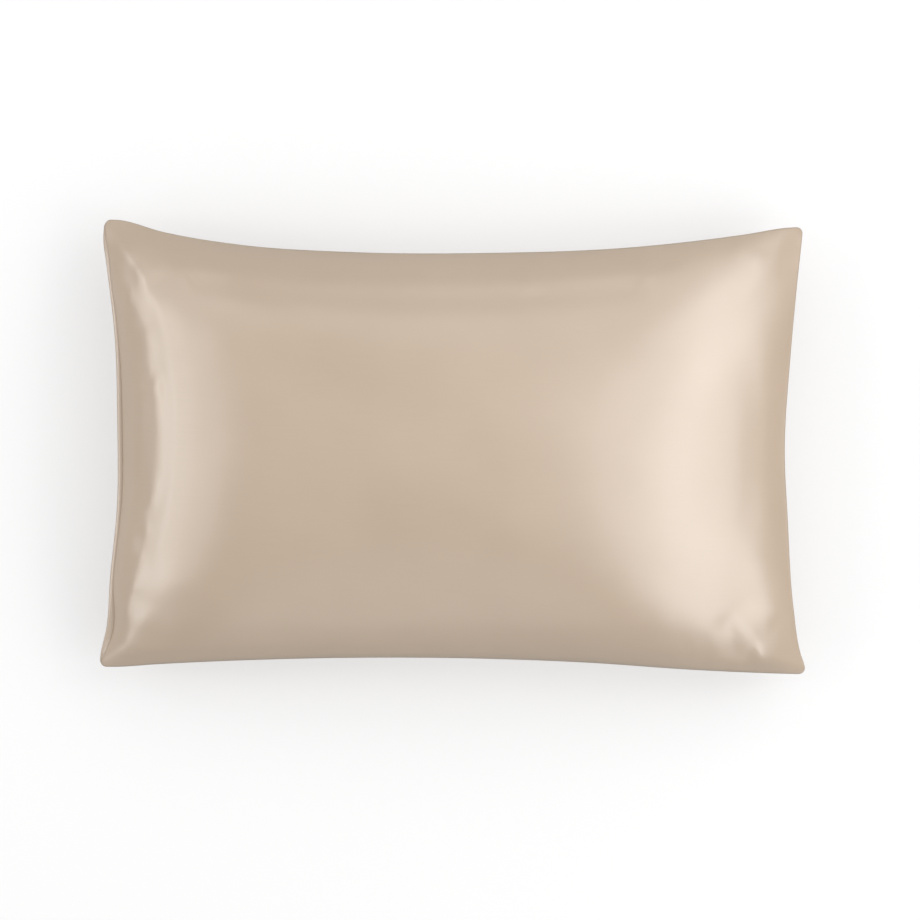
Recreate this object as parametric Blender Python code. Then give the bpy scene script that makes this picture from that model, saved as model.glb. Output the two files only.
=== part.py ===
"""A satin pillowcase drawn over a full pillow and laid on its back. Metres, +Z up.

The case is two panels of one size, sewn together along three sides and left open at the fourth, the end at
-X. There the front panel folds over the edge and tucks in as a flap, and the back panel ends in a hem whose
edge peeks out past that fold. front_panel is the filled form that the front panel and its flap enclose, one
solid with its crown; back_panel is the cloth under it, hem included. The long sides run along X.
"""

import math

import bmesh
import bpy
import numpy as np
from mathutils import Matrix

# The case as cut, and how much shorter the filling makes it from corner to corner.
CUT_LENGTH = 0.760
CUT_WIDTH = 0.510
TAKE_UP_LENGTH = 0.060
TAKE_UP_WIDTH = 0.062
CORNER_LENGTH = CUT_LENGTH - TAKE_UP_LENGTH
CORNER_WIDTH = CUT_WIDTH - TAKE_UP_WIDTH
CORNER_RADIUS = 0.007
# The lower right corner is pulled out past the rectangle of the other three.
FLARE = 0.007

# Heights: the seam in the middle of a side and at a corner, and the crown above the seam.
SEAM_MIDDLE = 0.070
SEAM_CORNER = 0.030
CROWN = 0.097
# Where the crown has reached this share of its height, the back lies flat on the surface. Outside that patch
# it rises to the seam with this exponent.
FLAT_FROM = 0.72
UNDER_BEND = 1.2

# Cloth: the back panel's thickness, the turned edge of the front panel, and the gap between the two.
CLOTH = 0.0015
EDGE = 0.0012
GAP = 0.0004
# The hem lies this much lower than the seams, so that the mouth of the case stands a little open.
HEM_DROP = 0.0010
# The overhang of the hem dies out over this share of the half length.
HEM_REACH = 0.07

# How steeply the crown rises from each pair of sides: exponents of (1 - t**rise)**bend.
RISE_ALONG, RISE_ACROSS, BEND = 3.4, 2.6, 0.72

# How far each side is drawn in from the straight line between its corners. Stations run from one corner, -1,
# to the other, 1, towards +X or +Y.
DRAWN_IN = {
    #           station, depth
    "top": ((-1, 0), (-0.96, 0.0005), (-0.83, 0.0125), (-0.6, 0.0253), (-0.3, 0.0312), (0.1, 0.0307),
            (0.5, 0.0237), (0.83, 0.0089), (0.96, 0.0009), (1, 0)),
    "bottom": ((-1, 0), (-0.96, 0.0001), (-0.83, 0.0038), (-0.42, 0.0115), (0.1, 0.0133), (0.4, 0.0102),
               (0.65, 0.0048), (0.9, 0.0010), (1, 0)),
    "left": ((-1, 0), (-0.95, 0.0008), (-0.83, 0.0070), (-0.6, 0.0112), (-0.29, 0.0175), (0.1, 0.0170),
             (0.5, 0.0129), (0.8, 0.0034), (0.91, -0.0005), (1, 0)),
    "right": ((-1, 0), (-0.97, 0.0005), (-0.9, 0.0056), (-0.7, 0.0130), (-0.3, 0.0189), (0, 0.0215),
              (0.4, 0.0156), (0.8, 0.0060), (0.95, 0.0014), (1, 0)),
}
# How far the hem at the open end peeks out past the fold, from the lower left corner to the upper left.
HEM_PEEK = ((-1, 0), (-0.9, 0.0062), (-0.6, 0.0036), (-0.15, 0.0052), (0.3, 0.0048), (0.7, 0.0024),
            (0.9, 0.0030), (1, 0))

# Soft folds in the front panel: ridges that run in from the corners, and troughs beside them.
# Rows are start x, y, end x, y, half width, height.
FOLDS = (
    (-0.345, 0.215, -0.235, 0.130, 0.020, 0.0030),
    (-0.330, 0.175, -0.300, 0.115, 0.013, -0.0024),
    (-0.250, 0.200, -0.120, 0.160, 0.018, -0.0016),
    (-0.345, -0.215, -0.240, -0.120, 0.020, 0.0034),
    (-0.250, -0.205, -0.110, -0.175, 0.016, -0.0018),
    (0.345, 0.215, 0.215, 0.110, 0.024, 0.0034),
    (0.290, 0.200, 0.190, 0.165, 0.014, -0.0026),
    (0.348, -0.215, 0.225, -0.120, 0.024, 0.0034),
    (0.305, -0.212, 0.200, -0.188, 0.014, -0.0034),
    (0.325, 0.080, 0.322, -0.060, 0.013, -0.0016),
    (0.075, 0.196, 0.070, 0.150, 0.012, -0.0014),
    (0.190, 0.205, 0.180, 0.160, 0.012, -0.0014),
)

# The panels' grids, and how much closer together their lines lie near the sides.
CELLS_ALONG, CELLS_ACROSS = 42, 28
CROWDING = 0.55

SATIN = {"color": (0.565, 0.455, 0.356, 1), "roughness": 0.38, "metallic": 0.0}


def along_stations(t, stations):
    """A smooth curve through the stations, level-headed at its ends: cubic Hermite pieces."""
    place, value = np.array(stations, float).T
    slope = np.gradient(value, place)
    i = np.clip(np.searchsorted(place, t, side="right") - 1, 0, len(place) - 2)
    span = place[i + 1] - place[i]
    s = (t - place[i]) / span
    rise = value[i] * (1 + 2 * s) * (1 - s) ** 2 + value[i + 1] * s**2 * (3 - 2 * s)
    lean = slope[i] * s * (1 - s) ** 2 - slope[i + 1] * s**2 * (1 - s)
    return rise + span * lean


def smooth_step(t):
    t = np.clip(t, 0, 1)
    return t * t * (3 - 2 * t)


def rounded(x, y):
    """The flat rectangle with its corners turned into quarter circles."""
    over_x = np.abs(x) - (CORNER_LENGTH / 2 - CORNER_RADIUS)
    over_y = np.abs(y) - (CORNER_WIDTH / 2 - CORNER_RADIUS)
    in_corner = (over_x > 0) & (over_y > 0)
    twice = 2 * CORNER_RADIUS**2
    pulled_x = over_x * np.sqrt(np.clip(1 - over_y**2 / twice, 0, 1))
    pulled_y = over_y * np.sqrt(np.clip(1 - over_x**2 / twice, 0, 1))
    x = x - np.where(in_corner, np.sign(x) * (over_x - pulled_x), 0)
    y = y - np.where(in_corner, np.sign(y) * (over_y - pulled_y), 0)
    return x, y


def plan(u, v):
    """Where the point (u, v) of a panel, each from -1 to 1, lies seen from above."""
    x, y = rounded(u * CORNER_LENGTH / 2, v * CORNER_WIDTH / 2)
    left = along_stations(v, DRAWN_IN["left"]) + along_stations(v, HEM_PEEK)
    right = along_stations(v, DRAWN_IN["right"])
    top = along_stations(u, DRAWN_IN["top"])
    bottom = along_stations(u, DRAWN_IN["bottom"])
    flare = FLARE * (1 + u) * (1 - v) / 4
    x = x + (1 - u) / 2 * left - (1 + u) / 2 * right + flare
    y = y + (1 - v) / 2 * bottom - (1 + v) / 2 * top
    return x, y


def fullness(u, v):
    """From 0 at the seams to 1 in the middle: how far the filling has pushed the panels apart."""
    along = (1 - np.abs(u) ** RISE_ALONG) ** BEND
    across = (1 - np.abs(v) ** RISE_ACROSS) ** BEND
    return along * across


def seam_height(u, v):
    """The seam's height, high in the middle of each side and drooping to the corners."""
    return SEAM_MIDDLE - (SEAM_MIDDLE - SEAM_CORNER) * np.abs(u * v) ** 3


def fold_relief(x, y):
    """What the soft folds add to the front panel's height at a point seen from above."""
    relief = np.zeros_like(x)
    for start_x, start_y, end_x, end_y, half_width, height in FOLDS:
        run_x, run_y = end_x - start_x, end_y - start_y
        length = math.hypot(run_x, run_y)
        along = ((x - start_x) * run_x + (y - start_y) * run_y) / length**2
        across = ((x - start_x) * run_y - (y - start_y) * run_x) / length
        taper = np.sin(np.pi * np.clip(along, 0, 1)) ** 2
        relief += height * taper * np.exp(-((across / half_width) ** 2))
    return relief


def front_outside(u, v):
    """The front panel's outer face."""
    x, y = plan(u, v)
    full = fullness(u, v)
    z = seam_height(u, v) + CLOTH + GAP + EDGE + CROWN * full + fold_relief(x, y) * smooth_step(4 * full)
    return np.stack([x, y, z], axis=1)


def back_outside(u, v):
    """The back panel's outer face, without the hem's overhang: it curves in under the seam and lies flat."""
    x, y = plan(u, v)
    lift = 1 - np.clip(fullness(u, v) / FLAT_FROM, 0, 1)
    return np.stack([x, y, seam_height(u, v) * lift**UNDER_BEND], axis=1)


def back_inwards(u, v):
    """Unit normals of the back panel, towards the filling, turned straight up along the seams."""
    step = 1e-3
    along = back_outside(np.minimum(u + step, 1), v) - back_outside(np.maximum(u - step, -1), v)
    across = back_outside(u, np.minimum(v + step, 1)) - back_outside(u, np.maximum(v - step, -1))
    normal = np.cross(along, across)
    normal /= np.linalg.norm(normal, axis=1)[:, None]
    inside = smooth_step((1 - np.maximum(np.abs(u), np.abs(v))) / 0.06)[:, None]
    normal = inside * normal + (1 - inside) * np.array([0, 0, 1])
    return normal / np.linalg.norm(normal, axis=1)[:, None]


def hem_overhang(u, v):
    """How the back panel's hem reaches out past the fold at the open end, and hangs a little below it."""
    share = smooth_step((HEM_REACH - (1 + u)) / HEM_REACH)
    out = along_stations(v, HEM_PEEK) * share
    droop = 3 * (SEAM_MIDDLE - SEAM_CORNER) * np.abs(v) ** 3 / (CORNER_LENGTH / 2)
    drop = HEM_DROP * share * smooth_step((1 - np.abs(v)) / 0.1) + droop * out
    return np.stack([-out, np.zeros_like(out), -drop], axis=1)


def back_panel_outside(u, v):
    return back_outside(u, v) + hem_overhang(u, v)


def back_panel_inside(u, v):
    return back_panel_outside(u, v) + CLOTH * back_inwards(u, v)


def filling_underside(u, v):
    return back_outside(u, v) + (CLOTH + GAP) * back_inwards(u, v)


def crowded(t):
    """Grid lines moved towards the sides, where the panels turn most."""
    return CROWDING * np.sin(t * np.pi / 2) + (1 - CROWDING) * t


def add_face(mesh, shape):
    """A grid of quads laid over a panel's face, each point placed by shape(u, v)."""
    made = bmesh.ops.create_grid(mesh, x_segments=CELLS_ALONG, y_segments=CELLS_ACROSS, size=1)
    points = made["verts"]
    u = crowded(np.array([point.co.x for point in points]))
    v = crowded(np.array([point.co.y for point in points]))
    for point, place in zip(points, shape(u, v)):
        point.co = place
    return points


def satin_material(name):
    material = bpy.data.materials.new(name)
    material.use_nodes = True
    shader = material.node_tree.nodes["Principled BSDF"]
    shader.inputs["Base Color"].default_value = SATIN["color"]
    shader.inputs["Roughness"].default_value = SATIN["roughness"]
    shader.inputs["Metallic"].default_value = SATIN["metallic"]
    return material


def add_cloth(name, upper, lower, material):
    """One closed piece between an upper and a lower face, joined round its rim."""
    mesh = bmesh.new()
    add_face(mesh, upper)
    under = set(add_face(mesh, lower))
    bmesh.ops.reverse_faces(mesh, faces=[face for face in mesh.faces if face.verts[0] in under])
    rim = [edge for edge in mesh.edges if edge.is_boundary]
    bmesh.ops.bridge_loops(mesh, edges=rim)
    bmesh.ops.recalc_face_normals(mesh, faces=mesh.faces)
    data = bpy.data.meshes.new(name)
    mesh.to_mesh(data)
    mesh.free()
    data.shade_smooth()
    data.set_sharp_from_angle(angle=math.radians(50))
    data.materials.append(material)
    piece = bpy.data.objects.new(name, data)
    bpy.context.scene.collection.objects.link(piece)
    return piece


def centre(pieces):
    """Moves the pieces sideways until the origin is under the middle of the box around them all."""
    points = np.array([point.co for piece in pieces for point in piece.data.vertices])
    middle = (points.min(axis=0) + points.max(axis=0)) / 2
    for piece in pieces:
        piece.data.transform(Matrix.Translation((-middle[0], -middle[1], 0)))


for leftover in list(bpy.data.objects):
    bpy.data.objects.remove(leftover)

front_panel = add_cloth("front_panel", front_outside, filling_underside, satin_material("front_satin"))
back_panel = add_cloth("back_panel", back_panel_inside, back_panel_outside, satin_material("back_satin"))
centre((front_panel, back_panel))
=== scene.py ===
"""A satin pillowcase drawn over a full pillow, lying face up on a pale floor under soft studio light."""

import math

import bpy
import numpy as np
from mathutils import Matrix, Vector, noise


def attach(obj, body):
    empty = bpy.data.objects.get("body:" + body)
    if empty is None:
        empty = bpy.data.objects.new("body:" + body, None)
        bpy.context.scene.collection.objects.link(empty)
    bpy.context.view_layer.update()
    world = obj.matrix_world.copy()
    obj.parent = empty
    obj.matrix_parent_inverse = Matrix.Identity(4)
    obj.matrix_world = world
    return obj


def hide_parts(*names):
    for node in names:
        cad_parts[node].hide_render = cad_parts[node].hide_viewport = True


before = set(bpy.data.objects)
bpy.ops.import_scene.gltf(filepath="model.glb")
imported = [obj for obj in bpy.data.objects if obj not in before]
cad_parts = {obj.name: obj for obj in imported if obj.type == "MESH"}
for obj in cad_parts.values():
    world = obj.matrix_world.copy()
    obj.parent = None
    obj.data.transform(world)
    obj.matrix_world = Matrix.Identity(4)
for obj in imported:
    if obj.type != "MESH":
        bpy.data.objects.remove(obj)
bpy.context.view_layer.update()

# The front panel is silk satin, cut 0.76 by 0.51 m and sewn to the back panel along the two long sides and
# the right end. At the open left end it folds over and tucks in as a flap. The pillow fills it tight, so it
# is one closed form: the satin on top, its turned edge, and the filling's underside that the back hides.
CUT_LENGTH, CUT_WIDTH = 0.760, 0.510
CORNER_LENGTH, CORNER_WIDTH = 0.700, 0.448
CORNER_RADIUS = 0.007
# The lower right corner is pulled out past the rectangle of the other three.
FLARE = 0.007
# The middle of the outline before it is moved to the frame's origin.
MIDDLE = (0.00292, -0.00007)

# The seam's height in the middle of a side and at a corner, and the exponent of its droop between them.
SEAM_MIDDLE, SEAM_CORNER = 0.070, 0.037
SEAM_DROOP = 4
# The satin's outer face over the seam. Its turned edge goes down in two steps, each so far in and over the
# seam. The hidden underside is lifted clear of the back panel and moved in.
FACE_OVER_SEAM = 0.0031
TURNED_EDGE = ((0.0004, 0.0024), (0.0012, 0.0020))
HIDDEN_LIFT, HIDDEN_INSET = 0.0020, 0.0024
# The underside: how full it is goes by (1 - t**rise)**bend along and across. It lies flat where that product
# is over FLAT_FROM, and outside that patch it bends up to the seam with the exponent UNDER_BEND.
UNDER_ALONG, UNDER_ACROSS, UNDER_SPREAD = 3.4, 2.6, 0.72
FLAT_FROM = 0.72
UNDER_BEND = 1.2

# How far each side is drawn in from the straight line between its corners, from one corner to the other.
DRAWN_IN = {
    "top": ((-1, 0), (-0.96, 0.0005), (-0.83, 0.0125), (-0.6, 0.0253), (-0.3, 0.0312), (0.1, 0.0307),
            (0.5, 0.0237), (0.83, 0.0089), (0.96, 0.0009), (1, 0)),
    "bottom": ((-1, 0), (-0.96, 0.0001), (-0.83, 0.0038), (-0.42, 0.0115), (0.1, 0.0133), (0.4, 0.0102),
               (0.65, 0.0048), (0.9, 0.0010), (1, 0)),
    "left": ((-1, 0), (-0.95, 0.0008), (-0.83, 0.0070), (-0.6, 0.0112), (-0.29, 0.0175), (0.1, 0.0170),
             (0.5, 0.0129), (0.8, 0.0034), (0.91, -0.0005), (1, 0)),
    "right": ((-1, 0), (-0.97, 0.0005), (-0.9, 0.0056), (-0.7, 0.0130), (-0.3, 0.0189), (0, 0.0215),
              (0.4, 0.0156), (0.8, 0.0060), (0.95, 0.0014), (1, 0)),
}
# How far the back panel's hem peeks out past the open end's fold, from the lower corner to the upper one.
HEM_PEEK = ((-1, 0), (-0.9, 0.0062), (-0.6, 0.0036), (-0.15, 0.0052), (0.3, 0.0048), (0.7, 0.0024),
            (0.9, 0.0030), (1, 0))

# The crown's height over the seam, and how it rises from each side: rise and bend of (1 - t**rise)**bend at
# the side's lower or left corner, in its middle, and at its upper or right corner.
CROWN = 0.078
RISE = {
    "left": ((2.9, 0.65), (3.4, 0.75), (4.4, 0.8)),
    "right": ((3.1, 0.95), (3.4, 0.85), (4.1, 1.2)),
    "bottom": ((3.4, 0.75), (3.9, 0.7), (4.7, 0.55)),
    "top": ((4.4, 1.15), (4.2, 0.9), (3.5, 0.6)),
}
# The exponent with which a corner's rise and bend take over from the middle's.
CORNER_SPREAD = 3
# The filling's broad swells: half waves along, half waves across, height.
SWELLS = (
    (0, 1, -0.0015), (0, 2, -0.0090), (1, 0, 0.0050), (1, 1, -0.0030),
    (2, 0, -0.0030), (2, 1, 0.0010), (2, 2, 0.0060), (3, 0, 0.0025),
    (3, 1, 0.0035),
)

# Ridges and troughs in the satin: half width, height, and the points each runs through, in millimetres from
# the middle. Ridges run in from the corners, and soft folds run inside the long seams.
FOLDS = (
    # the open end: its shoulder, dimpled by the filling's edge
    (9, 0.75, ((-344, 204), (-320, 180), (-300, 142), (-286, 98), (-278, 44), (-278, -6), (-284, -66),
        (-297, -115), (-313, -160), (-337, -200))),
    (15, 0.5, ((-293, 152), (-269, 103), (-259, 44), (-260, -16), (-269, -75), (-284, -130))),
    (8, 0.75, ((-327, 157), (-311, 118), (-301, 78), (-295, 43), (-295, -6), (-300, -61), (-309, -111),
        (-323, -150))),
    (11, 2, ((-348, 211), (-332, 196), (-314, 180), (-296, 157))),
    (10, 0.5, ((-304, 180), (-264, 175), (-214, 171))),
    (7, 0.5, ((-336, 139), (-320, 137), (-305, 134))),
    (7, -0.5, ((-332, 117), (-315, 115), (-298, 110))),
    (9, 1, ((-325, 58), (-305, 55), (-285, 51))),
    (8, 0.5, ((-320, 33), (-302, 31), (-284, 29))),
    (8, 0.5, ((-321, -44), (-303, -42), (-285, -40))),
    (8, -0.75, ((-327, -84), (-309, -80), (-291, -76))),
    (6, 0.5, ((-318, 180), (-310, 150), (-306, 117), (-296, 83))),
    (6, 0.75, ((-295, 71), (-290, 33), (-289, -6), (-291, -36), (-299, -66))),
    (6, 0.5, ((-301, -74), (-306, -106), (-314, -135), (-327, -167), (-338, -197))),
    (7, -0.5, ((-311, 126), (-310, 117), (-308, 107))),
    (8, -1, ((-305, -84), (-307, -100), (-308, -116))),
    # the lower left corner
    (8, -0.75, ((-339, -205), (-322, -180), (-305, -147), (-295, -115))),
    (20, 3, ((-388, -260), (-346, -217), (-318, -185), (-300, -155))),
    # the upper right corner
    (14, 0.5, ((345, 217), (319, 191), (300, 161), (290, 119), (281, 74))),
    (10, 0.75, ((265, 202), (286, 198), (311, 185))),
    (26, 0.5, ((390, 259), (341, 216), (305, 181), (284, 149))),
    # the sewn end
    (15, -0.5, ((284, 119), (295, 50), (296, -20), (292, -89))),
    # the lower right corner
    (15, -0.5, ((351, -220), (331, -198), (310, -170), (291, -139), (280, -99))),
    (12, -1.25, ((264, -160), (276, -186), (284, -216))),
    (10, -0.5, ((249, -177), (252, -197), (252, -227))),
    (12, 2.5, ((351, -223), (320, -210), (294, -196))),
    (26, 2.5, ((395, -259), (347, -219), (309, -184), (283, -153))),
    (8, -0.5, ((343, -152), (329, -168), (313, -180))),
    # along the long sides
    (10, -0.75, ((-294, 186), (-224, 179), (-135, 173), (-36, 171), (63, 174), (143, 181), (232, 190))),
    (15, -2, ((-274, 163), (-194, 154), (-105, 148), (-6, 147), (93, 151), (193, 160))),
    (10, 1, ((-319, -208), (-230, -204), (-121, -201), (-2, -200), (107, -200), (236, -202))),
    (15, 0.5, ((-300, -187), (-211, -182), (-101, -178), (-2, -177), (107, -178), (226, -179))),
    (16, 0.5, ((-285, -195), (-240, -176), (-191, -164), (-121, -159))),
    (9, 1, ((71, 190), (73, 171), (76, 147))),
    (9, 0.75, ((182, 195), (187, 178), (193, 158))),
)
# Points on a fold's curve from each given one to the next, and over how many half widths its ends fade.
CURVE_STEPS = 24
FOLD_FADE = 1.5
# How soon, going in from a seam, the folds reach their full height.
FOLD_RISE = 6
# Slow and quick unevenness of the filling: length along and across, place in the noise, height.
UNEVENNESS = ((0.085, 0.065, 3.1, 0.0004), (0.034, 0.028, 7.7, 0.00008))
# The puckers along a seam: how far apart, how long, how high, how they fade inwards, and where they end.
PUCKER_PITCH, PUCKER_LENGTH = 0.017, 0.05
PUCKER_HEIGHT = 0.0007
PUCKER_FADE, PUCKER_END = 0.018, 0.08
# A form's layers run from its outer face, 0, to its inner one, and the weave runs on by EDGE_TURN of the half
# cloth for each layer of the turned edge. The rows of cells stand closer near the seams.
LAST_LAYER = 3
EDGE_TURN = 0.003
CROWDING = 0.5
FRONT_CELLS = (236, 150)


def along_stations(t, stations):
    """A smooth curve through the stations."""
    place, value = np.array(stations, float).T
    slope = np.gradient(value, place)
    i = np.clip(np.searchsorted(place, t, side="right") - 1, 0, len(place) - 2)
    span = place[i + 1] - place[i]
    s = (t - place[i]) / span
    rise = value[i] * (1 + 2 * s) * (1 - s) ** 2 + value[i + 1] * s**2 * (3 - 2 * s)
    lean = slope[i] * s * (1 - s) ** 2 - slope[i + 1] * s**2 * (1 - s)
    return rise + span * lean


def smooth_step(t):
    t = np.clip(t, 0, 1)
    return t * t * (3 - 2 * t)


def plan(u, v, inset=0.0):
    """Where the cloth's point (u, v), each from -1 to 1, lies seen from above, moved in by inset."""
    u = u * (1 - 2 * inset / CORNER_LENGTH)
    v = v * (1 - 2 * inset / CORNER_WIDTH)
    x, y = u * CORNER_LENGTH / 2, v * CORNER_WIDTH / 2
    over_x = np.abs(x) - (CORNER_LENGTH / 2 - CORNER_RADIUS)
    over_y = np.abs(y) - (CORNER_WIDTH / 2 - CORNER_RADIUS)
    in_corner = (over_x > 0) & (over_y > 0)
    twice = 2 * CORNER_RADIUS**2
    x -= np.where(in_corner, np.sign(x) * over_x * (1 - np.sqrt(np.clip(1 - over_y**2 / twice, 0, 1))), 0)
    y -= np.where(in_corner, np.sign(y) * over_y * (1 - np.sqrt(np.clip(1 - over_x**2 / twice, 0, 1))), 0)
    left = along_stations(v, DRAWN_IN["left"]) + along_stations(v, HEM_PEEK)
    right = along_stations(v, DRAWN_IN["right"])
    x += (1 - u) / 2 * left - (1 + u) / 2 * right + FLARE * (1 + u) * (1 - v) / 4 - MIDDLE[0]
    y += (1 - v) / 2 * along_stations(u, DRAWN_IN["bottom"])
    y -= (1 + v) / 2 * along_stations(u, DRAWN_IN["top"]) + MIDDLE[1]
    return x, y


def seam_height(u, v):
    """The seam's height, high in the middle of each side and drooping to the corners."""
    return SEAM_MIDDLE - (SEAM_MIDDLE - SEAM_CORNER) * np.abs(u * v) ** SEAM_DROOP


def fullness(u, v):
    """From 0 at the seams to 1 in the middle: how far the filling has pushed the satin up."""
    full = np.ones_like(u)
    for t, along, low, high in ((u, v, "left", "right"), (v, u, "bottom", "top")):
        for side, here in ((low, t < 0), (high, t >= 0)):
            first, middle, last = (np.array(pair) for pair in RISE[side])
            corner = np.where(along[here, None] < 0, first, last)
            rise, bend = (middle + (corner - middle) * np.abs(along[here, None]) ** CORNER_SPREAD).T
            full[here] *= (1 - np.clip(np.abs(t[here]), 0, 1) ** rise) ** bend
    return full


def fold_relief(x, y):
    """What the ridges and troughs add to the satin's height."""
    relief = np.zeros_like(x)
    for half_width, height, run in FOLDS:
        run = np.array(run, float) / 1000
        ends = np.vstack([2 * run[0] - run[1], run, 2 * run[-1] - run[-2]])
        curve = []
        for a, b, c, d in zip(ends, ends[1:], ends[2:], ends[3:]):
            for s in np.linspace(0, 1, CURVE_STEPS, endpoint=False):
                curve.append(b + (c - a) * s / 2 + (2 * a - 5 * b + 4 * c - d) * s**2 / 2
                             + (3 * b - a - 3 * c + d) * s**3 / 2)
        curve = np.array(curve + [ends[-2]])
        steps = np.concatenate([[0], np.cumsum(np.linalg.norm(np.diff(curve, axis=0), axis=1))])
        away = (x[:, None] - curve[:, 0]) ** 2 + (y[:, None] - curve[:, 1]) ** 2
        nearest = away.argmin(axis=1)
        from_end = np.minimum(steps[nearest], steps[-1] - steps[nearest])
        half = half_width / 1000
        fade = smooth_step(from_end / (FOLD_FADE * half))
        relief += height / 1000 * fade * np.exp(-away.min(axis=1) / half**2)
    return relief


def undulation(x, y):
    """The unevenness of the filling under the satin."""
    relief = np.zeros_like(x)
    for along, across, place, height in UNEVENNESS:
        rough = [noise.noise(Vector((a, b, place))) for a, b in zip(x / along, y / across)]
        relief += height * np.array(rough)
    return relief


def seam_puckers(u, v, x, y):
    """Small puckers along the sewn sides, where the thread has drawn the satin up."""
    relief = np.zeros_like(x)
    for side, (share, along) in enumerate(((v, x), (-v, x), (u, y))):
        half = CORNER_LENGTH / 2 if side == 2 else CORNER_WIDTH / 2
        inwards = half * (1 - share)
        near = inwards < PUCKER_END
        drawn = []
        for a, b in zip(along[near] / PUCKER_PITCH, inwards[near] / PUCKER_LENGTH):
            drawn.append(noise.noise(Vector((a, b, 11.0 * side))))
        relief[near] += PUCKER_HEIGHT * np.array(drawn) * np.exp(-inwards[near] / PUCKER_FADE)
    return relief


def satin_top(u, v):
    """The front panel's outer face, which stands over the seam at its rim."""
    x, y = plan(u, v)
    full = fullness(u, v)
    z = seam_height(u, v) + FACE_OVER_SEAM + CROWN * full
    for along, across, height in SWELLS:
        swell = np.cos(along * math.pi * (u + 1) / 2) * np.cos(across * math.pi * (v + 1) / 2)
        z += height * swell * full
    z += (fold_relief(x, y) + undulation(x, y)) * smooth_step(FOLD_RISE * full)
    z += seam_puckers(u, v, x, y)
    return x, y, z


def under_side(u, v, lift, inset):
    """The pillow's lower half, lifted and moved in: flat where it rests, then curving up to the seam."""
    x, y = plan(u, v, inset)
    along = (1 - np.abs(u) ** UNDER_ALONG) ** UNDER_SPREAD
    across = (1 - np.abs(v) ** UNDER_ACROSS) ** UNDER_SPREAD
    z = seam_height(u, v) * (1 - np.clip(along * across / FLAT_FROM, 0, 1)) ** UNDER_BEND + lift
    return x, y, z


def front_place(u, v, layer):
    """Points of the front form by layer: 0 the satin, 1 and 2 its turned edge, 3 the hidden underside."""
    places = [satin_top(u, v)]
    height = seam_height(u, v)
    puckers = seam_puckers(u, v, *plan(u, v))
    for inset, rise in TURNED_EDGE:
        places.append((*plan(u, v, inset), height + rise + puckers))
    places.append(under_side(u, v, HIDDEN_LIFT, HIDDEN_INSET))
    return np.stack([np.choose(layer, [place[k] for place in places]) for k in range(3)], axis=1)


def cloth_form(name, cells, place, outer_is_up):
    """Two flat grids, the first outside, joined round their rims. place(u, v, layer) sets each point."""
    bpy.ops.object.select_all(action="DESELECT")
    grids = []
    for height in (0, -LAST_LAYER):
        bpy.ops.mesh.primitive_grid_add(
            x_subdivisions=cells[0], y_subdivisions=cells[1], size=2, location=(0, 0, height)
        )
        grids.append(bpy.context.object)
    for grid in grids:
        grid.select_set(True)
    bpy.context.view_layer.objects.active = grids[0]
    bpy.ops.object.join()
    form = bpy.context.object
    form.name = form.data.name = name
    bpy.ops.object.mode_set(mode="EDIT")
    bpy.ops.mesh.select_mode(type="EDGE")
    bpy.ops.mesh.select_all(action="DESELECT")
    bpy.ops.mesh.select_non_manifold()
    bpy.ops.mesh.bridge_edge_loops(number_cuts=LAST_LAYER - 1)
    bpy.ops.mesh.select_all(action="SELECT")
    bpy.ops.mesh.normals_make_consistent(inside=not outer_is_up)
    bpy.ops.object.mode_set(mode="OBJECT")

    flat = np.zeros(len(form.data.vertices) * 3)
    form.data.vertices.foreach_get("co", flat)
    u, v, depth = flat.reshape(-1, 3).T
    layer = np.clip(np.round(-depth), 0, LAST_LAYER).astype(int)
    u, v = np.clip(u, -1, 1), np.clip(v, -1, 1)
    u, v = (CROWDING * np.sin(t * math.pi / 2) + (1 - CROWDING) * t for t in (u, v))
    form.data.vertices.foreach_set("co", place(u, v, layer).astype(np.float32).ravel())

    corners = np.zeros(len(form.data.loops), int)
    form.data.loops.foreach_get("vertex_index", corners)
    over = 1 + EDGE_TURN * np.clip(layer, 0, LAST_LAYER - 1)
    laid = np.stack([(u * over + 1) / 2, (v * over + 1) / 2], axis=1)[corners]
    while form.data.uv_layers:
        form.data.uv_layers.remove(form.data.uv_layers[0])
    form.data.uv_layers.new(name="cloth").data.foreach_set("uv", laid.astype(np.float32).ravel())
    form.data.update()
    bpy.ops.object.shade_smooth()
    return form


front = cloth_form("front_satin_panel", FRONT_CELLS, front_place, True)
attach(front, "root")
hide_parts("front_panel")


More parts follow.
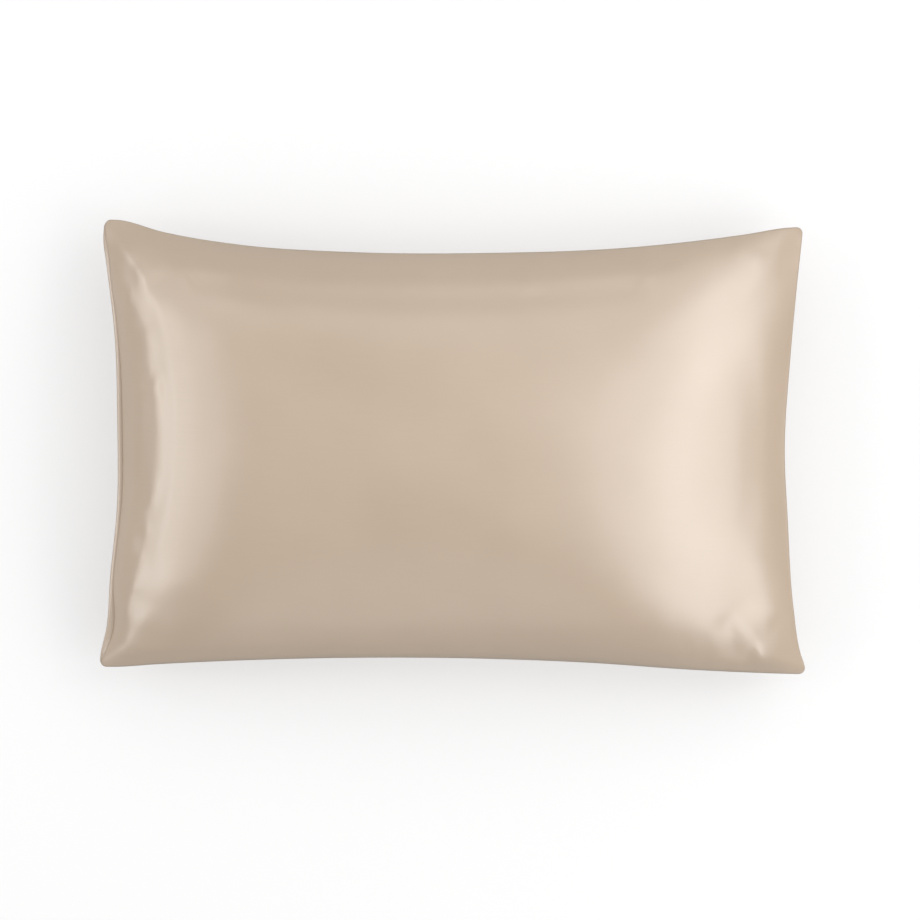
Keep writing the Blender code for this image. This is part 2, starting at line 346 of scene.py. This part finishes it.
# The satin: a warp of long silk floats over a fine weft, champagne, with a soft sheen across the warp.
def satin_weave_group():
    """Fine streaks along the floats, and a slow mottle under them, in metres on the flat cloth."""
    group = bpy.data.node_groups.new("satin_weave", "ShaderNodeTree")
    group.interface.new_socket("Cloth", in_out="INPUT", socket_type="NodeSocketVector")
    group.interface.new_socket("Shade", in_out="OUTPUT", socket_type="NodeSocketFloat")
    group.interface.new_socket("Height", in_out="OUTPUT", socket_type="NodeSocketFloat")
    nodes, links = group.nodes, group.links
    entry, leave = nodes.new("NodeGroupInput"), nodes.new("NodeGroupOutput")
    stretch = nodes.new("ShaderNodeMapping")
    stretch.inputs["Scale"].default_value = (20, 900, 1)
    streaks = nodes.new("ShaderNodeTexNoise")
    streaks.inputs["Scale"].default_value = 1
    streaks.inputs["Detail"].default_value = 3
    mottle = nodes.new("ShaderNodeTexNoise")
    mottle.inputs["Scale"].default_value = 9
    mottle.inputs["Detail"].default_value = 2
    mix = nodes.new("ShaderNodeMath")
    mix.operation = "MULTIPLY_ADD"
    mix.inputs[1].default_value = 0.6
    links.new(entry.outputs["Cloth"], stretch.inputs["Vector"])
    links.new(stretch.outputs["Vector"], streaks.inputs["Vector"])
    links.new(entry.outputs["Cloth"], mottle.inputs["Vector"])
    links.new(streaks.outputs["Fac"], mix.inputs[0])
    links.new(mottle.outputs["Fac"], mix.inputs[2])
    links.new(mix.outputs[0], leave.inputs["Shade"])
    links.new(streaks.outputs["Fac"], leave.inputs["Height"])
    return group


def satin(name):
    material = bpy.data.materials.new(name)
    material.use_nodes = True
    nodes, links = material.node_tree.nodes, material.node_tree.links
    shader = nodes["Principled BSDF"]
    shader.inputs["Roughness"].default_value = 0.33
    shader.inputs["IOR"].default_value = 1.75
    shader.inputs["Specular IOR Level"].default_value = 1.0
    shader.inputs["Anisotropic"].default_value = 0.66
    shader.inputs["Anisotropic Rotation"].default_value = 0.25
    floats = nodes.new("ShaderNodeTangent")
    floats.direction_type = "UV_MAP"
    floats.uv_map = "cloth"
    laid = nodes.new("ShaderNodeUVMap")
    laid.uv_map = "cloth"
    size = nodes.new("ShaderNodeMapping")
    size.inputs["Scale"].default_value = (CUT_LENGTH, CUT_WIDTH, 1)
    weave = nodes.new("ShaderNodeGroup")
    weave.node_tree = bpy.data.node_groups.get("satin_weave") or satin_weave_group()
    tone = nodes.new("ShaderNodeMix")
    tone.data_type = "RGBA"
    tone.inputs["A"].default_value = (0.52, 0.40, 0.288, 1)
    tone.inputs["B"].default_value = (0.582, 0.45, 0.33, 1)
    bump = nodes.new("ShaderNodeBump")
    bump.inputs["Strength"].default_value = 0.05
    bump.inputs["Distance"].default_value = 0.0003
    links.new(floats.outputs["Tangent"], shader.inputs["Tangent"])
    links.new(laid.outputs["UV"], size.inputs["Vector"])
    links.new(size.outputs["Vector"], weave.inputs["Cloth"])
    links.new(weave.outputs["Shade"], tone.inputs["Factor"])
    links.new(tone.outputs["Result"], shader.inputs["Base Color"])
    links.new(weave.outputs["Height"], bump.inputs["Height"])
    links.new(bump.outputs["Normal"], shader.inputs["Normal"])
    return material


front.data.materials.append(satin("champagne_satin"))

# The back panel is of the same satin, cut the same size. It lies flat under the middle of the pillow and
# rises to the seam; at the open end it has a hem, which peeks out past the front panel's fold.
# The hem lies this much lower than the seams, so that the mouth of the case stands a little open.
HEM_DROP = 0.0010
# The hem reaches past the fold over this share of the half length, and the cloth behind it evens that out
# over CATCH_UP times as much. The drop dies out at the corners, and the puckers at the open end, over
# END_SHARE of the half width or length.
LIP = 0.018
CATCH_UP = 8
END_SHARE = 0.1
# The layers of the back panel, each so far in and lifted, and the height under which its puckers fade.
BACK_LAYERS = ((0, 0), (0.0004, 0.0007), (0.0009, 0.0011), (0.0014, 0.0014))
PUCKER_FLOOR = 0.03
BACK_CELLS = (170, 110)


def back_place(u, v, layer):
    """Points of the back panel by layer: 0 its outer face, 1 and 2 its turned edge, 3 its inner face."""
    on_lip = np.clip((LIP - 1 - u) / LIP, 0, 1)
    out = along_stations(v, HEM_PEEK) * on_lip
    drop = HEM_DROP * on_lip * smooth_step((1 - np.abs(v)) / END_SHARE)
    behind = np.clip((CATCH_UP * LIP - 1 - u) / ((CATCH_UP - 1) * LIP), 0, 1)
    body = np.where(u < LIP - 1, -1, np.maximum(u - LIP * behind, -1))
    droop = SEAM_DROOP * (SEAM_MIDDLE - SEAM_CORNER) * np.abs(v) ** SEAM_DROOP / (CORNER_LENGTH / 2) * out
    puckers = seam_puckers(body, v, *plan(body, v)) * smooth_step((body + 1) / END_SHARE)
    places = []
    for inset, rise in BACK_LAYERS:
        x, y, z = under_side(body, v, rise, inset)
        z += puckers * np.minimum(z / PUCKER_FLOOR, 1) - drop - droop
        places.append((x - out, y, np.maximum(z, rise)))
    return np.stack([np.choose(layer, [place[k] for place in places]) for k in range(3)], axis=1)


back = cloth_form("back_satin_panel", BACK_CELLS, back_place, False)
back.data.materials.append(front.data.materials[0])
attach(back, "root")
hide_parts("back_panel")

# The sewing thread is spun polyester, dyed to match the satin. Lockstitches hold the hem, 22 mm in from its
# edge, and more of them close the seam on the other three sides, where they show in the groove between the
# two panels. One stitch is shaped and then copied along each line of sewing.
THREAD_RADIUS = 0.00022
# A stitch ends in tips, drawn in and out by so many thread radii.
TIP_INSET, TIP_LENGTH = 0.45, 0.8
HEM_STITCH, HEM_PITCH = 0.0022, 0.0031
SEAM_STITCH, SEAM_PITCH = 0.0017, 0.0028
HEM_DEPTH = 0.022
# The middle of a hem stitch stands out of the cloth by this many thread radii.
HEM_STAND_OUT = 0.5
# The hem's line of stitches ends short of the seams, at this share of the half width. Its depth is found
# within HEM_SEARCH of the half length.
HEM_END, HEM_SEARCH = 0.965, 0.1
HEM_POINTS, DEPTH_POINTS = 400, 80
# The seam's stitches lie in the groove, so far in and over the seam, and lean a little along it.
GROOVE_INSET, GROOVE_RISE = 0.0006, 0.0017
SEAM_LEAN = 0.3
# The seam's own points, and how many are left bare at the open end.
RIM_POINTS, BARE_POINTS = 900, 20
# How far ahead on its line, in points, a stitch's direction is taken.
HEM_AHEAD, SEAM_AHEAD = 0.2, 0.3


def one_stitch(length):
    """A short bit of thread along X, drawn in to a tip at each end, where it goes into the cloth."""
    bpy.ops.object.select_all(action="DESELECT")
    bpy.ops.mesh.primitive_cylinder_add(
        vertices=6, radius=THREAD_RADIUS, depth=length, rotation=(0, math.pi / 2, 0)
    )
    stitch = bpy.context.object
    bpy.ops.object.transform_apply(location=False, rotation=True, scale=False)
    for end in (-1, 1):
        bpy.ops.object.mode_set(mode="EDIT")
        bpy.ops.mesh.select_mode(type="FACE")
        bpy.ops.mesh.select_all(action="DESELECT")
        bpy.ops.object.mode_set(mode="OBJECT")
        for face in stitch.data.polygons:
            face.select = face.normal.x * end > 0.9
        bpy.ops.object.mode_set(mode="EDIT")
        bpy.ops.mesh.inset(thickness=THREAD_RADIUS * TIP_INSET)
        bpy.ops.transform.translate(value=(end * THREAD_RADIUS * TIP_LENGTH, 0, 0))
        bpy.ops.object.mode_set(mode="OBJECT")
    return stitch


def sewn_line(name, length, points, alongs, outs):
    """Copies of one stitch: each at its point, lying along the line of sewing, its back to the cloth."""
    first = one_stitch(length)
    copies = []
    for point, along, out in zip(points, alongs, outs):
        x_axis = Vector(along).normalized()
        z_axis = (Vector(out) - x_axis * Vector(out).dot(x_axis)).normalized()
        turn = Matrix((x_axis, z_axis.cross(x_axis), z_axis)).transposed().to_4x4()
        copy = bpy.data.objects.new(name, first.data.copy())
        copy.data.transform(Matrix.Translation(Vector(point)) @ turn)
        bpy.context.scene.collection.objects.link(copy)
        copies.append(copy)
    bpy.data.objects.remove(first)
    bpy.ops.object.select_all(action="DESELECT")
    for copy in copies:
        copy.select_set(True)
    bpy.context.view_layer.objects.active = copies[0]
    bpy.ops.object.join()
    line = bpy.context.object
    line.name = line.data.name = name
    bpy.ops.object.shade_smooth()
    return line


def spaced(points, pitch):
    """Places on a line of points, this far apart: which point comes before each, and how far past it."""
    steps = np.concatenate([[0], np.cumsum(np.linalg.norm(np.diff(points, axis=0), axis=1))])
    return np.interp(np.arange(pitch, steps[-1] - pitch, pitch), steps, np.arange(len(points)))


def hem_line():
    """Where the hem is stitched: on the back panel's outer face, HEM_DEPTH in along the cloth."""
    v = np.linspace(-HEM_END, HEM_END, HEM_POINTS)
    inward = np.linspace(-1, HEM_SEARCH - 1, DEPTH_POINTS)
    outer = np.zeros(len(inward), int)
    u = []
    for share in v:
        run = back_place(inward, np.full(len(inward), share), outer)
        depth = np.concatenate([[0], np.cumsum(np.linalg.norm(np.diff(run, axis=0), axis=1))])
        u.append(np.interp(HEM_DEPTH, depth, inward))
    return np.array(u), v


def back_face(u, v):
    """Points of the back panel's outer face, and the way out of the cloth there."""
    outer, step = np.zeros(len(u), int), 2e-3
    along = back_place(u + step, v, outer) - back_place(u - step, v, outer)
    across = back_place(u, v + step, outer) - back_place(u, v - step, outer)
    out = np.cross(across, along)
    return back_place(u, v, outer), out / np.linalg.norm(out, axis=1)[:, None]


hem_u, hem_v = hem_line()
line, _ = back_face(hem_u, hem_v)
places = spaced(line, HEM_PITCH)
index = np.arange(len(line))
at_u, at_v = np.interp(places, index, hem_u), np.interp(places, index, hem_v)
sewn, out = back_face(at_u, at_v)
next_places = places + HEM_AHEAD
ahead, _ = back_face(np.interp(next_places, index, hem_u), np.interp(next_places, index, hem_v))
sewn_out = sewn + out * THREAD_RADIUS * HEM_STAND_OUT
hem_stitches = sewn_line("hem_stitches", HEM_STITCH, sewn_out, ahead - sewn, out)

# The seam runs from the open end along the near side, up the sewn end, and back along the far side.
rim_share = np.linspace(-1, 1, RIM_POINTS)
one = np.ones_like(rim_share)
sewn_share = rim_share[BARE_POINTS:]
rim_u = np.concatenate([sewn_share, one, sewn_share[::-1]])
rim_v = np.concatenate([-one[BARE_POINTS:], rim_share, one[BARE_POINTS:]])
puckers = seam_puckers(rim_u, rim_v, *plan(rim_u, rim_v))
groove_height = seam_height(rim_u, rim_v) + GROOVE_RISE + puckers
groove = np.stack([*plan(rim_u, rim_v, GROOVE_INSET), groove_height], axis=1)
places = spaced(groove, SEAM_PITCH)
index = np.arange(len(groove))
sewn = np.stack([np.interp(places, index, groove[:, k]) for k in range(3)], axis=1)
next_places = places + SEAM_AHEAD
ahead = np.stack([np.interp(next_places, index, groove[:, k]) for k in range(3)], axis=1) - sewn
ahead /= np.linalg.norm(ahead, axis=1)[:, None]
outs = np.cross(ahead, (0, 0, 1))
seam_stitches = sewn_line("seam_stitches", SEAM_STITCH, sewn, ahead * SEAM_LEAN + (0, 0, 1), outs)


def spun_thread():
    material = bpy.data.materials.new("champagne_thread")
    material.use_nodes = True
    nodes, links = material.node_tree.nodes, material.node_tree.links
    shader = nodes["Principled BSDF"]
    shader.inputs["Roughness"].default_value = 0.5
    shader.inputs["Sheen Weight"].default_value = 0.2
    place = nodes.new("ShaderNodeTexCoord")
    twist = nodes.new("ShaderNodeTexNoise")
    twist.inputs["Scale"].default_value = 2500
    twist.inputs["Detail"].default_value = 1
    tone = nodes.new("ShaderNodeMix")
    tone.data_type = "RGBA"
    tone.inputs["A"].default_value = (0.42, 0.33, 0.25, 1)
    tone.inputs["B"].default_value = (0.58, 0.47, 0.37, 1)
    bump = nodes.new("ShaderNodeBump")
    bump.inputs["Strength"].default_value = 0.3
    bump.inputs["Distance"].default_value = 0.0001
    links.new(place.outputs["Object"], twist.inputs["Vector"])
    links.new(twist.outputs["Fac"], tone.inputs["Factor"])
    links.new(tone.outputs["Result"], shader.inputs["Base Color"])
    links.new(twist.outputs["Fac"], bump.inputs["Height"])
    links.new(bump.outputs["Normal"], shader.inputs["Normal"])
    return material


thread = spun_thread()
for stitches in (hem_stitches, seam_stitches):
    stitches.data.materials.append(thread)
    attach(stitches, "root")

# The studio: a wide sheet of light grey paper, which glows a little for the camera alone, so that it shows
# near white and still throws little light back on the satin. The room is dim, and pale to the camera.
FLOOR_SIZE = 60

bpy.ops.object.select_all(action="DESELECT")
bpy.ops.mesh.primitive_plane_add(size=FLOOR_SIZE, location=(0, 0, 0))
floor = bpy.context.object
floor.name = "studio_floor"
paper = bpy.data.materials.new("studio_paper")
paper.use_nodes = True
nodes, links = paper.node_tree.nodes, paper.node_tree.links
shader = nodes["Principled BSDF"]
shader.inputs["Base Color"].default_value = (0.55, 0.55, 0.55, 1)
shader.inputs["Roughness"].default_value = 0.9
shader.inputs["Specular IOR Level"].default_value = 0.1
shader.inputs["Emission Color"].default_value = (1, 1, 1, 1)
seen = nodes.new("ShaderNodeLightPath")
glow = nodes.new("ShaderNodeMath")
glow.operation = "MULTIPLY"
glow.inputs[1].default_value = 0.45
links.new(seen.outputs["Is Camera Ray"], glow.inputs[0])
links.new(glow.outputs[0], shader.inputs["Emission Strength"])
floor.data.materials.append(paper)

world = bpy.data.worlds.new("studio")
bpy.context.scene.world = world
world.use_nodes = True
nodes, links = world.node_tree.nodes, world.node_tree.links
room = nodes["Background"]
room.inputs["Color"].default_value = (1, 1, 1, 1)
room.inputs["Strength"].default_value = 0.33
wall = nodes.new("ShaderNodeBackground")
wall.inputs["Color"].default_value = (1, 1, 1, 1)
wall.inputs["Strength"].default_value = 0.95
seen = nodes.new("ShaderNodeLightPath")
choice = nodes.new("ShaderNodeMixShader")
links.new(seen.outputs["Is Camera Ray"], choice.inputs[0])
links.new(room.outputs[0], choice.inputs[1])
links.new(wall.outputs[0], choice.inputs[2])
links.new(choice.outputs[0], nodes["World Output"].inputs["Surface"])


# Soft light from groups of softboxes, all the same way off. A wide bank at the sewn end lays the broad
# highlight there, a smaller one at the open end picks out its shoulder, and weaker ones fill from overhead
# and from the long sides. All are aimed at a point in the pillow's middle, AIM_HEIGHT over the floor.
SOFTBOX_AWAY = 2.6
AIM_HEIGHT = 0.08
SOFTBOX_GROUPS = (
    # name, degrees off the vertical, degrees turned from +X, size, how brightly each lights the pillow
    ("sewn_end_high", 38, (-20, 20), (0.8, 1.1), 0.17),
    ("sewn_end", 54, (-45, -15, 15, 45), (0.8, 1.1), 0.35),
    ("sewn_end_low", 70, (-20, 20), (0.7, 1.4), 0.05),
    ("far_corner", 68, (62,), (0.7, 1.4), 0.12),
    ("open_end_high", 52, (155, 180, 205), (0.6, 1.0), 0.15),
    ("open_end", 68, (155, 180, 205), (0.6, 1.0), 0.22),
    ("overhead", 14, (180,), (1.2, 1.4), 0.11),
    ("overhead_far", 26, (50,), (1.2, 1.4), 0.17),
    ("overhead_near", 26, (-50,), (1.2, 1.4), 0.11),
    ("far_side", 58, (85, 120), (1.2, 1.4), 0.20),
    ("near_side", 58, (265,), (1.2, 1.4), 0.12),
)


def softbox(name, zenith, azimuth, size, strength):
    lamp = bpy.data.lights.new(name, "AREA")
    lamp.shape = "RECTANGLE"
    lamp.size, lamp.size_y = size
    lamp.energy = strength * math.pi * SOFTBOX_AWAY**2
    holder = bpy.data.objects.new(name, lamp)
    bpy.context.scene.collection.objects.link(holder)
    tilt = math.radians(zenith)
    holder.location = (SOFTBOX_AWAY * math.sin(tilt), 0, SOFTBOX_AWAY * math.cos(tilt))
    holder.location.rotate(Matrix.Rotation(math.radians(azimuth), 3, "Z"))
    holder.rotation_euler = holder.location.to_track_quat("Z", "Y").to_euler()
    holder.location.z += AIM_HEIGHT
    holder.visible_camera = False


for group, zenith, azimuths, size, strength in SOFTBOX_GROUPS:
    for number, azimuth in enumerate(azimuths, 1):
        softbox(f"{group}_{number}", zenith, azimuth, size, strength)

# The camera looks straight down on the pillow, as the photograph does, a little turned and off its middle.
# The picture's width is measured at the height of SEAM_PLANE.
EYE_HEIGHT = 5.0
SEAM_PLANE = 0.05
PICTURE_WIDTH = 0.92
TURN = math.radians(0.62)
OFF_CENTRE = (0.0058, 0.0131)

camera = bpy.data.cameras.new("overhead_camera")
camera.lens = camera.sensor_width * (EYE_HEIGHT - SEAM_PLANE) / PICTURE_WIDTH
camera.clip_start, camera.clip_end = 0.1, 100
eye = bpy.data.objects.new("overhead_camera", camera)
bpy.context.scene.collection.objects.link(eye)
eye.location = (
    OFF_CENTRE[0] * math.cos(TURN) + OFF_CENTRE[1] * math.sin(TURN),
    OFF_CENTRE[0] * math.sin(TURN) - OFF_CENTRE[1] * math.cos(TURN),
    EYE_HEIGHT,
)
eye.rotation_euler = (0, 0, TURN)
bpy.context.scene.camera = eye
bpy.context.scene.view_settings.view_transform = "Standard"
